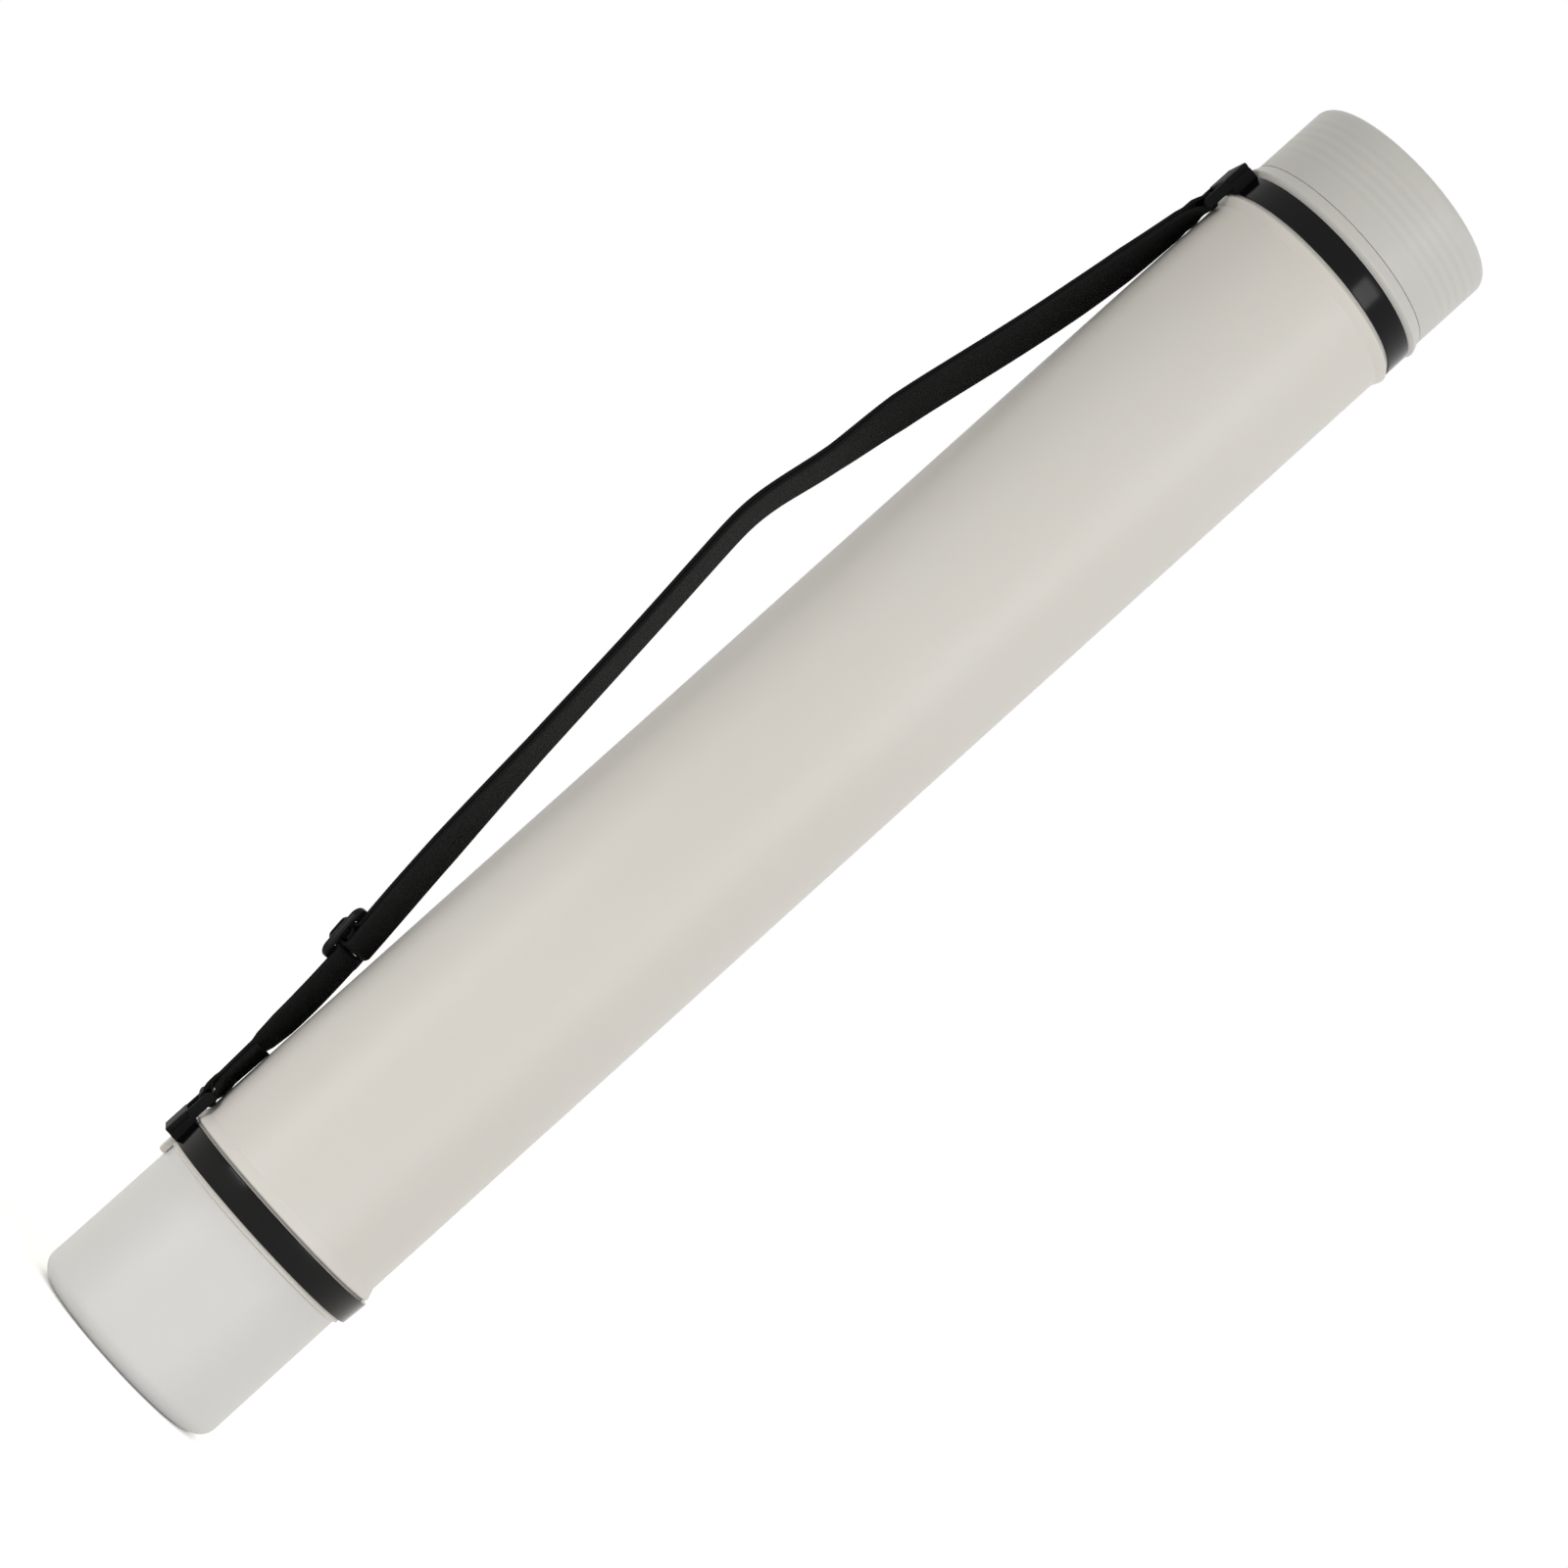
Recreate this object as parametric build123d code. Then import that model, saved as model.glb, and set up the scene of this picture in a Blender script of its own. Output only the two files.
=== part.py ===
from build123d import *
from math import atan2, cos, degrees, hypot, radians, sin, tan
import os

os.makedirs("parts", exist_ok=True)

# A telescopic plastic tube for rolled posters and drawings, standing on its closed foot.
# Millimetres, +Z up along the tube, origin at the centre of the foot's flat underside.
# The strap and the lugs that hold it are on the -X side.

# Tubes
OUTER_RADIUS = 45.0        # outside of the outer tube and of the cap
OUTER_WALL = 1.2
INNER_WALL = 1.1
SLIDE_CLEARANCE = 0.8      # radial, between the inner tube and the outer tube's bore
FOOT_INSET = 0.85          # how far the foot's side lies inside the outer tube's side
FOOT_HEIGHT = 66.2
FOOT_FLAT_RADIUS = 34.0    # the flat that the tube stands on
FOOT_EDGE_HEIGHT = 8.0     # height of the rounded edge between the flat and the side
FOOT_FLOOR = 2.2
FOOT_INNER_BEVEL = 4.0     # between the foot's floor and its wall, inside
MOUTH_GAP = 0.3            # between the foot's shoulder and the outer tube's mouth, closed
BARREL_LENGTH = 549.0      # outer tube, from its mouth to the ledge under the cap
TRAVEL = 450.0
LIP_DEPTH = 0.5            # inward lip at the mouth, which catches the stop ring
LIP_LENGTH = 3.0
RING_RISE = 0.6            # stop ring and guide ring on the inner tube
RING_WIDTH = 3.0
STOP_GAP = 0.3             # left between lip and stop ring at full length
INNER_TOP_GAP = 7.0        # from the inner tube's end to the cone inside the outer tube
EDGE_BEVEL = 0.4           # on the rims and shoulders of the tubes and the cap

# Neck and screw cap
NECK_INSET = 2.5           # neck's side inside the outer tube's side
NECK_WALL = 1.5
NECK_CONE = 8.0            # height of the cone that leads the bore into the neck
NECK_TOP_GAP = 1.5         # from the neck's rim to the inside of the cap's top
CAP_HEIGHT = 34.8
CAP_WALL = 1.3
CAP_TOP = 1.6
CAP_EDGE_RADIUS = 4.2
CAP_EDGE_FLATS = 3         # flats that follow the cap's rounded edge
CAP_INNER_BEVEL = 2.9      # between the cap's top and its wall, inside
CAP_GAP = 0.3

# Strap bands
BAND_WIDTH = 10.4
BAND_FIT = 0.15            # radial, between a band and the tube under it
LOWER_BAND_LIFT = 7.3      # band's centre above the mouth
LOWER_BAND_THICKNESS = 1.95
LOWER_BAND_FLARE = 0.6     # the lower band is this much thicker at its upper edge
UPPER_BAND_DROP = 11.9     # band's centre below the ledge
UPPER_BAND_THICKNESS = 0.85
BEAD_RISE = 1.8
BEAD_GAP = 0.5             # between a band's edge and the bead beside it
BEAD_WIDTH = 5.6
BEAD_STEEP = 0.25          # share of a bead's width that its steep side takes
BEAD_CREST = 0.7           # flat along the top of a bead
LUG_RISE = 6.2             # lug's outer face above the tube's side
LUG_EDGE = 0.8
GROOVE_WIDTH = 1.0         # groove along each cheek of a lug
GROOVE_DEPTH = 0.6
GROOVE_DROP = 2.2          # groove's middle below the lug's outer face
RAIL_WIDTH = 1.85
RAIL_DEPTH = 4.3
BAR_RADIUS = 1.75
LOWER_BAR_REACH = 14.2     # from the band's centre to the bar's centre
UPPER_BAR_REACH = 14.8
BAR_RISE = 3.8             # bar's centre above the tube's side
TAB_WIDTH = 17.0           # key on the outer tube under the lower lug
TAB_RISE = 1.9
TAB_DROP = 4.8             # how far the key hangs below the mouth
TAB_SHOULDER = 1.8         # how far it reaches above the mouth
TAB_BEVEL = 0.6
TAB_CLEARANCE = 0.4        # between the key and the foot behind it

# Strap and slider
WEB_WIDTH = 20.0
WEB_THICKNESS = 1.45
WEB_GAP = 0.2              # from webbing to a bar
LAYER_GAP = 0.25           # between two layers
WEB_SIDE_GAP = 0.65        # beside the webbing in a window or slot
BEND_RADIUS = 2.1          # middle of the webbing where it bends round a bar
SEWN_TAIL = 26.0           # length of the sewn loop at the lower bar
TAPER = 9.0                # length over which the two layers part towards a bar
SLIDER_AT = 77.9           # along the strap, from the lower bar
SLIDER_LENGTH = 22.6
SLIDER_THICKNESS = 2.8
SLIDER_RAIL = 2.85
SLIDER_END_BAR = 4.3
SLIDER_CENTRE_BAR = 4.6
SLIDER_CORNER = 4.5
SLIDER_EDGE = 0.8
RUN_STEP = 34.0            # length of webbing between two sections
ARC_STEP = 30.0            # degrees between sections round a bend
# Share of the way from bar to bar, and distance out from the straight line between them.
STRAP_BOW = (
    (0.03, 0.4), (0.08, 1.35), (0.13, 3.15), (0.2, 7.1), (0.33, 14.2), (0.5, 22.8), (0.555, 25.9),
    (0.585, 26.9), (0.61, 25.9), (0.65, 22.5), (0.71, 19.1), (0.78, 13.5), (0.85, 7.8),
    (0.91, 3.9), (0.96, 1.8),
)
# Share of the way, and lean in degrees: below zero, the edge that faces +Y is nearer the tube.
STRAP_LEAN = (
    (0.0, 0.0), (0.008, 0.0), (0.03, -17.0), (0.05, -20.0), (0.06, -28.0), (0.075, -31.0),
    (0.1, -33.0), (0.2, -34.0), (0.25, -33.0), (0.35, -25.0), (0.45, -22.5), (0.61, -22.5),
    (0.66, -25.0), (0.72, -36.5), (0.88, -36.5), (0.925, -33.0), (0.95, -28.0), (0.97, -22.0),
    (0.991, 0.0), (1.0, 0.0),
)
CUT_MARGIN = 2.0           # how far a cutting shape reaches past the solid it cuts

# Worked out from the sizes above
bore_radius = OUTER_RADIUS - OUTER_WALL
inner_radius = bore_radius - SLIDE_CLEARANCE
inner_bore = inner_radius - INNER_WALL
foot_radius = OUTER_RADIUS - FOOT_INSET
mouth_z = FOOT_HEIGHT + MOUTH_GAP
ledge_z = mouth_z + BARREL_LENGTH
inner_top_z = ledge_z - NECK_CONE - INNER_TOP_GAP
neck_radius = OUTER_RADIUS - NECK_INSET
neck_bore = neck_radius - NECK_WALL
cap_foot_z = ledge_z + CAP_GAP
cap_top_z = cap_foot_z + CAP_HEIGHT
neck_top_z = cap_top_z - CAP_TOP - NECK_TOP_GAP
lower_band_z = mouth_z + LOWER_BAND_LIFT
upper_band_z = ledge_z - UPPER_BAND_DROP
band_bore = OUTER_RADIUS + BAND_FIT
bar_x = OUTER_RADIUS + BAR_RISE
lug_half = WEB_WIDTH / 2 + WEB_SIDE_GAP + RAIL_WIDTH
layer_offset = (WEB_THICKNESS + LAYER_GAP) / 2
loop_offset = BAR_RADIUS + WEB_GAP + WEB_THICKNESS / 2


def turned(*points):
    """Solid of revolution about Z of a closed outline of (radius, height) points."""
    return revolve(Plane.XZ * make_face(Polyline(*points, close=True)), Axis.Z)


def foot_and_inner_tube():
    """Inner tube with its closed foot, stop ring and guide ring, moulded in one."""
    body = turned(
        (0, 0),
        (foot_radius, 0),
        (foot_radius, FOOT_HEIGHT - EDGE_BEVEL),
        (foot_radius - EDGE_BEVEL, FOOT_HEIGHT),
        (inner_radius, FOOT_HEIGHT),
        (inner_radius, inner_top_z),
        (inner_bore, inner_top_z),
        (inner_bore, FOOT_FLOOR + FOOT_INNER_BEVEL),
        (inner_bore - FOOT_INNER_BEVEL, FOOT_FLOOR),
        (0, FOOT_FLOOR),
    )
    # What the rounded edge leaves away: the corner outside a quarter of an ellipse.
    reach = foot_radius - FOOT_FLAT_RADIUS
    arc = EllipticalCenterArc(
        (FOOT_FLAT_RADIUS, FOOT_EDGE_HEIGHT), reach, FOOT_EDGE_HEIGHT,
        start_angle=270, arc_size=90,
    )
    corner = (foot_radius + CUT_MARGIN, -CUT_MARGIN)
    waste = Polyline(
        (foot_radius, FOOT_EDGE_HEIGHT),
        (corner[0], FOOT_EDGE_HEIGHT),
        corner,
        (FOOT_FLAT_RADIUS, corner[1]),
        (FOOT_FLAT_RADIUS, 0),
    )
    body -= revolve(Plane.XZ * make_face(arc + waste), Axis.Z)
    stop_z = mouth_z + LIP_LENGTH + TRAVEL + STOP_GAP
    guide_z = inner_top_z - RING_WIDTH
    for ring_z in (stop_z, guide_z):
        body += turned(
            (inner_radius - INNER_WALL / 2, ring_z),
            (inner_radius + RING_RISE, ring_z),
            (inner_radius + RING_RISE, ring_z + RING_WIDTH / 2),
            (inner_radius, ring_z + RING_WIDTH),
            (inner_radius - INNER_WALL / 2, ring_z + RING_WIDTH),
        )
    return body


def bead(edge_z, direction):
    """Bead beside a band: steep towards the band and sloping away from it.

    edge_z is its foot on the band's side, and direction is 1 where it lies above the
    band and -1 where it lies below."""
    root = OUTER_RADIUS - OUTER_WALL / 2
    crest = OUTER_RADIUS + BEAD_RISE
    steep_z = edge_z + direction * BEAD_WIDTH * BEAD_STEEP
    far_z = edge_z + direction * BEAD_WIDTH
    return turned(
        (root, edge_z),
        (OUTER_RADIUS, edge_z),
        (crest, steep_z),
        (crest, steep_z + direction * BEAD_CREST),
        (OUTER_RADIUS, far_z),
        (root, far_z),
    )


def outer_tube():
    """Outer tube with its mouth lip, beads, ledge and neck, and the key at the mouth."""
    lip_bore = bore_radius - LIP_DEPTH
    cone_z = ledge_z - NECK_CONE
    lip_top_z = mouth_z + LIP_LENGTH
    body = turned(
        (lip_bore, mouth_z),
        (OUTER_RADIUS - EDGE_BEVEL, mouth_z),
        (OUTER_RADIUS, mouth_z + EDGE_BEVEL),
        (OUTER_RADIUS, ledge_z - EDGE_BEVEL),
        (OUTER_RADIUS - EDGE_BEVEL, ledge_z),
        (neck_radius, ledge_z),
        (neck_radius, neck_top_z - EDGE_BEVEL),
        (neck_radius - EDGE_BEVEL, neck_top_z),
        (neck_bore, neck_top_z),
        (neck_bore, ledge_z),
        (bore_radius, cone_z),
        (bore_radius, lip_top_z + LIP_DEPTH),
        (lip_bore, lip_top_z),
    )
    half = BAND_WIDTH / 2 + BEAD_GAP
    body += bead(lower_band_z + half, 1)
    body += bead(upper_band_z - half, -1)
    body += bead(upper_band_z + half, 1)
    # Key: a short tongue over the foot, under the lower lug.
    key_bore = foot_radius + TAB_CLEARANCE
    key_face = OUTER_RADIUS + TAB_RISE
    low_z = mouth_z - TAB_DROP
    ring = turned(
        (key_bore, low_z),
        (key_face - TAB_BEVEL, low_z),
        (key_face, low_z + TAB_BEVEL),
        (key_face, mouth_z + TAB_SHOULDER),
        (key_bore, mouth_z + TAB_SHOULDER),
    )
    slab = Pos(-OUTER_RADIUS, 0, mouth_z) * Box(OUTER_RADIUS, TAB_WIDTH, 4 * TAB_DROP)
    return body + (ring & slab)


def screw_cap():
    """Cup-shaped screw cap, flush with the outer tube, its skirt over the neck."""
    bore = OUTER_RADIUS - CAP_WALL
    inside_z = cap_top_z - CAP_TOP
    angles = [radians(90) * index / CAP_EDGE_FLATS for index in range(CAP_EDGE_FLATS + 1)]
    edge = [
        (OUTER_RADIUS - CAP_EDGE_RADIUS * (1 - sin(angle)),
         cap_top_z - CAP_EDGE_RADIUS * (1 - cos(angle)))
        for angle in angles
    ]
    return turned(
        (0, cap_top_z),
        *edge,
        (OUTER_RADIUS, cap_foot_z + EDGE_BEVEL),
        (OUTER_RADIUS - EDGE_BEVEL, cap_foot_z),
        (bore, cap_foot_z),
        (bore, inside_z - CAP_INNER_BEVEL),
        (bore - CAP_INNER_BEVEL, inside_z),
        (0, inside_z),
    )


def strap_band(band_z, thickness, flare, reach):
    """One-piece clamp band: ring, lug and the eye that the webbing is looped through.

    reach is the eye's bar above the band's centre, and below zero it is under the band."""
    low_z = band_z - BAND_WIDTH / 2
    high_z = band_z + BAND_WIDTH / 2
    outer = OUTER_RADIUS + thickness
    band = turned(
        (band_bore, low_z),
        (outer, low_z),
        (outer + flare, high_z),
        (band_bore, high_z),
    )
    # Lug: a block on the band, as wide as the eye, with a groove along each cheek.
    face_x = OUTER_RADIUS + LUG_RISE
    lug = Pos(-face_x / 2, 0, band_z) * Box(face_x, 2 * lug_half, BAND_WIDTH)
    lug = chamfer(lug.faces().sort_by(Axis.X)[0].edges(), LUG_EDGE)
    lug -= Pos(0, 0, band_z) * Cylinder(band_bore, BAND_WIDTH)
    for side in (-1, 1):
        spot = Pos(GROOVE_DROP - face_x, side * lug_half, band_z)
        lug -= spot * Box(GROOVE_WIDTH, 2 * GROOVE_DEPTH, BAND_WIDTH)
    # Eye: two rails with rounded ends and a round bar between them.
    bar_z = band_z + reach
    rail_mid = lug_half - RAIL_WIDTH / 2
    for side in (-1, 1):
        spot = Pos(-bar_x, side * rail_mid, (bar_z + band_z) / 2)
        lug += spot * Box(RAIL_DEPTH, RAIL_WIDTH, abs(reach))
        spot = Pos(-bar_x, side * rail_mid, bar_z) * Rot(90, 0, 0)
        lug += spot * Cylinder(RAIL_DEPTH / 2, RAIL_WIDTH)
    lug += Pos(-bar_x, 0, bar_z) * Rot(90, 0, 0) * Cylinder(BAR_RADIUS, 2 * rail_mid)
    return band + lug


def strap_route():
    """Centre line of the strap as one smooth curve from the lower bar to the upper bar."""
    low_z = lower_band_z + LOWER_BAR_REACH
    high_z = upper_band_z - UPPER_BAR_REACH
    ends = [(0.0, 0.0), *STRAP_BOW, (1.0, 0.0)]
    points = [(-bar_x - bow, 0, low_z + share * (high_z - low_z)) for share, bow in ends]
    return Spline(*points)


def share_of(table, share):
    """Value at a share of the way, straight between the pairs of the table."""
    for (before, low), (after, high) in zip(table, table[1:]):
        if share <= after:
            return low + (high - low) * (share - before) / (after - before)
    return table[-1][1]


def strap_frame(route, along):
    """Point, direction, width direction and outward normal of the strap at a length."""
    held = min(max(along, 0.0), route.length)
    share = held / route.length
    point = route @ share
    ahead = route % share
    point += ahead * (along - held)
    out = Vector(-ahead.Z, 0, ahead.X)
    lean = radians(share_of(STRAP_LEAN, share))
    across = Vector(0, 1, 0) * cos(lean) + out * sin(lean)
    normal = out * cos(lean) - Vector(0, 1, 0) * sin(lean)
    return point, ahead, across, normal


def rounded_path(points, radius, step):
    """Points along a polyline whose corners are arcs, no further apart than step.

    Each returned item is position along the strap, offset from its centre line and
    heading in radians. Where two corners are close, their arcs share the run between."""
    headings = [atan2(b[1] - a[1], b[0] - a[0]) for a, b in zip(points, points[1:])]
    lengths = [hypot(b[0] - a[0], b[1] - a[1]) for a, b in zip(points, points[1:])]
    turns = [
        (after - before + radians(540)) % radians(360) - radians(180)
        for before, after in zip(headings, headings[1:])
    ]
    cuts = [0.0, *(radius * tan(abs(turn) / 2) for turn in turns), 0.0]
    path = []
    here = points[0]
    for index, turn in enumerate(turns, start=1):
        corner = points[index]
        before = lengths[index - 1] / max(lengths[index - 1], cuts[index - 1] + cuts[index])
        after = lengths[index] / max(lengths[index], cuts[index] + cuts[index + 1])
        cut = cuts[index] * min(before, after)
        if cut < 0.001:
            continue
        way_in = headings[index - 1]
        start = (corner[0] - cut * cos(way_in), corner[1] - cut * sin(way_in))
        path += straight_run(here, start, way_in, step)
        arc_radius = cut / tan(turn / 2)
        centre = (start[0] - arc_radius * sin(way_in), start[1] + arc_radius * cos(way_in))
        parts = max(1, round(abs(degrees(turn)) / ARC_STEP))
        for part in range(parts + 1):
            heading = way_in + turn * part / parts
            path.append((centre[0] + arc_radius * sin(heading),
                         centre[1] - arc_radius * cos(heading), heading))
        here = path.pop()[:2]
    path += straight_run(here, points[-1], headings[-1], step)
    path.append((*points[-1], headings[-1]))
    return path


def straight_run(start, end, heading, step):
    """Evenly spaced points from start up to but not including end."""
    length = hypot(end[0] - start[0], end[1] - start[1])
    parts = max(1, round(length / step))
    return [
        (start[0] + (end[0] - start[0]) * index / parts,
         start[1] + (end[1] - start[1]) * index / parts, heading)
        for index in range(parts)
    ]


def webbing(route):
    """One length of webbing: lower loop, slider, upper loop and back to the slider."""
    end = route.length
    near = layer_offset
    wide = loop_offset
    under = slider_offset() - SLIDER_THICKNESS / 2 - WEB_GAP - WEB_THICKNESS / 2
    over = slider_offset() + SLIDER_THICKNESS / 2 + WEB_GAP + WEB_THICKNESS / 2
    top = over + WEB_THICKNESS + WEB_GAP
    post = SLIDER_CENTRE_BAR / 2 + WEB_GAP + WEB_THICKNESS / 2
    slot = (SLIDER_LENGTH - 2 * SLIDER_END_BAR + SLIDER_CENTRE_BAR) / 4
    riser = slot + WEB_THICKNESS / 2
    mid = SLIDER_AT
    points = [
        (SEWN_TAIL, -near),
        (TAPER, -near),
        (0, -wide),
        (-wide, -wide),
        (-wide, wide),
        (0, wide),
        (TAPER, near),
        (mid - riser, under),
        (mid - riser, top),
        (mid + riser, top),
        (mid + riser, under),
        (mid + SLIDER_LENGTH, near),
        (end - TAPER, near),
        (end, wide),
        (end + wide, wide),
        (end + wide, -wide),
        (end, -wide),
        (end - TAPER, -near),
        (mid - post, -near),
        (mid - post, over),
        (mid + post, over),
        (mid + post, under),
        (mid - post / 3, under),
    ]
    sections = []
    for along, offset, heading in rounded_path(points, BEND_RADIUS, RUN_STEP):
        point, ahead, across, normal = strap_frame(route, along)
        centre = point + normal * offset
        depth = (normal * cos(heading) - ahead * sin(heading)) * (WEB_THICKNESS / 2)
        reach = across * (WEB_WIDTH / 2)
        corners = (centre + reach + depth, centre - reach + depth,
                   centre - reach - depth, centre + reach - depth)
        sections.append(Wire(Polyline(*corners, close=True).edges()))
    return Solid.make_loft(sections, ruled=True)


def slider_offset():
    """Distance of the slider's middle plane from the strap's centre line."""
    return layer_offset + WEB_THICKNESS / 2 + WEB_GAP + SLIDER_THICKNESS / 2


def slider(route):
    """Three-bar slider: a rounded frame with two slots and a bar between them."""
    slot_width = WEB_WIDTH + 2 * WEB_SIDE_GAP
    frame_width = slot_width + 2 * SLIDER_RAIL
    slot_length = (SLIDER_LENGTH - 2 * SLIDER_END_BAR - SLIDER_CENTRE_BAR) / 2
    slot_at = (SLIDER_CENTRE_BAR + slot_length) / 2
    outline = RectangleRounded(frame_width, SLIDER_LENGTH, SLIDER_CORNER)
    frame = extrude(outline, SLIDER_THICKNESS / 2, both=True)
    for side in (-1, 1):
        slot = Rectangle(slot_width, slot_length)
        frame -= Pos(0, side * slot_at, 0) * extrude(slot, SLIDER_THICKNESS, both=True)
    rims = frame.faces().sort_by(Axis.Z)
    frame = chamfer(rims[0].edges() + rims[-1].edges(), SLIDER_EDGE)
    point, ahead, across, normal = strap_frame(route, SLIDER_AT)
    seat = Plane(origin=point + normal * slider_offset(), x_dir=across, z_dir=normal)
    return seat * frame


def write(node, solid):
    export_step(solid, os.path.join("parts", node + ".step"))
    print(node, "volume in cubic centimetres", round(solid.volume / 1000, 2))


centre_line = strap_route()
print("strap centre line", round(centre_line.length, 1))
write("inner_tube", foot_and_inner_tube())
write("outer_tube", outer_tube())
write("screw_cap", screw_cap())
lower_band = strap_band(lower_band_z, LOWER_BAND_THICKNESS, LOWER_BAND_FLARE, LOWER_BAR_REACH)
upper_band = strap_band(upper_band_z, UPPER_BAND_THICKNESS, 0.0, -UPPER_BAR_REACH)
write("lower_strap_band", lower_band)
write("upper_strap_band", upper_band)
write("carry_strap", webbing(centre_line))
write("strap_slider", slider(centre_line))
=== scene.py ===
from functools import partial
from math import asin, cos, pi, radians, sin

import bmesh
import bpy
import numpy as np
from mathutils import Matrix, Vector


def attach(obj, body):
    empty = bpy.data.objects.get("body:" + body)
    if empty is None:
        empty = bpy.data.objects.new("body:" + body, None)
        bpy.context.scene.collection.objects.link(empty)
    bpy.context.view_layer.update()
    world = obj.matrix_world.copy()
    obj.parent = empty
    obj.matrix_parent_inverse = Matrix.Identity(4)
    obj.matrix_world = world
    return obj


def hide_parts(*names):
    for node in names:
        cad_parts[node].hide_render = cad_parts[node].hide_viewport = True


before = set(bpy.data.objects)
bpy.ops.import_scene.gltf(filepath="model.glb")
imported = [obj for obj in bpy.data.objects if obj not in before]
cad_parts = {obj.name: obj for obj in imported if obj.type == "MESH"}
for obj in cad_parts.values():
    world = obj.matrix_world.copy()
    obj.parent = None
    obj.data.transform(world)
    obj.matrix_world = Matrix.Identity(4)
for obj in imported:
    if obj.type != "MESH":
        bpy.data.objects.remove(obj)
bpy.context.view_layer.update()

# Camera.
# The tube stands on its foot. The photograph looks at it from a little below the middle,
# six degrees towards the strap, with the camera turned so that the cap points up right.
SIGHT_HEIGHT = 0.1776          # camera above the floor
SIGHT_DISTANCE = 1.5716        # camera from the tube's axis, along the floor
SIGHT_SIDE = radians(-6.0)     # round the tube, towards the strap
SIGHT_RISE = radians(5.3)      # looking up
SIGHT_YAW = radians(0.296)     # looking right of the tube's axis
CAP_LEAN = radians(42.04)      # the tube's axis above the horizontal in the picture
LENS = 96.75                   # focal length in mm
SENSOR_WIDTH = 36.0            # in mm

heading = SIGHT_SIDE + pi / 2 - SIGHT_YAW
sight = Vector((cos(SIGHT_RISE) * cos(heading), cos(SIGHT_RISE) * sin(heading), sin(SIGHT_RISE)))
right = sight.cross(Vector((0, 0, 1))).normalized()
up = right.cross(sight)
camera_x = up * cos(CAP_LEAN) + right * sin(CAP_LEAN)
camera_y = up * sin(CAP_LEAN) - right * cos(CAP_LEAN)
camera_data = bpy.data.cameras.new("camera")
camera_data.lens = LENS
camera_data.sensor_width = SENSOR_WIDTH
camera = bpy.data.objects.new("camera", camera_data)
bpy.context.scene.collection.objects.link(camera)
turn = Matrix((camera_x, camera_y, -sight)).transposed()
camera.matrix_world = Matrix.Translation(
    (SIGHT_DISTANCE * sin(SIGHT_SIDE), -SIGHT_DISTANCE * cos(SIGHT_SIDE), SIGHT_HEIGHT)
) @ turn.to_4x4()
bpy.context.scene.camera = camera
bpy.context.scene.view_settings.view_transform = "Standard"

# Studio: a white floor that keeps the shadow, an even white surround, and soft lamps.
# Seen straight, in gloss or through plastic, the floor and the surround are white.
AMBIENT = 0.62                 # strength of the surround's light on the object
AMBIENT_TINT = (1.0, 0.98, 0.94, 1)
FLOOR_REACH = 40
FLOOR_COLOUR = (0.8, 0.8, 0.79, 1)
FLOOR_LEVEL = 1.75             # brings the lit floor up to white for the camera


def math_node(tree, operation, first, second=0.0, clamp=False):
    """Output of a new math node. first and second are numbers or other nodes' outputs."""
    node = tree.nodes.new("ShaderNodeMath")
    node.operation = operation
    node.use_clamp = clamp
    for socket, value in zip(node.inputs, (first, second)):
        if isinstance(value, (int, float)):
            socket.default_value = value
        else:
            tree.links.new(value, socket)
    return node.outputs[0]


def whiten(tree, plain, white, surface):
    """Gives surface the white shader for a ray from the camera, a glossy one or a
    transmitted one, and the plain shader for the rest, which light the object."""
    path = tree.nodes.new("ShaderNodeLightPath")
    seen = math_node(
        tree, "MAXIMUM", path.outputs["Is Camera Ray"], path.outputs["Is Glossy Ray"]
    )
    seen = math_node(tree, "MAXIMUM", seen, path.outputs["Is Transmission Ray"])
    mixer = tree.nodes.new("ShaderNodeMixShader")
    for socket, output in zip(mixer.inputs, (seen, plain.outputs[0], white.outputs[0])):
        tree.links.new(output, socket)
    tree.links.new(mixer.outputs[0], surface)


world = bpy.data.worlds.new("surround")
world.use_nodes = True
sky = world.node_tree
white_sky = sky.nodes["Background"]
white_sky.inputs["Color"].default_value = (1, 1, 1, 1)
white_sky.inputs["Strength"].default_value = 1.0
sky_light = sky.nodes.new("ShaderNodeBackground")
sky_light.inputs["Color"].default_value = AMBIENT_TINT
sky_light.inputs["Strength"].default_value = AMBIENT
whiten(sky, sky_light, white_sky, sky.nodes["World Output"].inputs["Surface"])
bpy.context.scene.world = world

floor_mesh = bpy.data.meshes.new("floor")
floor_corners = [
    (x * FLOOR_REACH, y * FLOOR_REACH, 0) for x, y in ((-1, -1), (1, -1), (1, 1), (-1, 1))
]
floor_mesh.from_pydata(floor_corners, [], [(0, 1, 2, 3)])
floor = bpy.data.objects.new("floor", floor_mesh)
bpy.context.scene.collection.objects.link(floor)
floor_paint = bpy.data.materials.new("white_floor")
floor_paint.use_nodes = True
paint = floor_paint.node_tree
paint.nodes.remove(paint.nodes["Principled BSDF"])
matt_floor = paint.nodes.new("ShaderNodeBsdfDiffuse")
matt_floor.inputs["Color"].default_value = FLOOR_COLOUR
white_floor = paint.nodes.new("ShaderNodeBsdfDiffuse")
white_floor.inputs["Color"].default_value = (FLOOR_LEVEL, FLOOR_LEVEL, FLOOR_LEVEL, 1)
whiten(paint, matt_floor, white_floor, paint.nodes["Material Output"].inputs["Surface"])
floor_mesh.materials.append(floor_paint)


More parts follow.
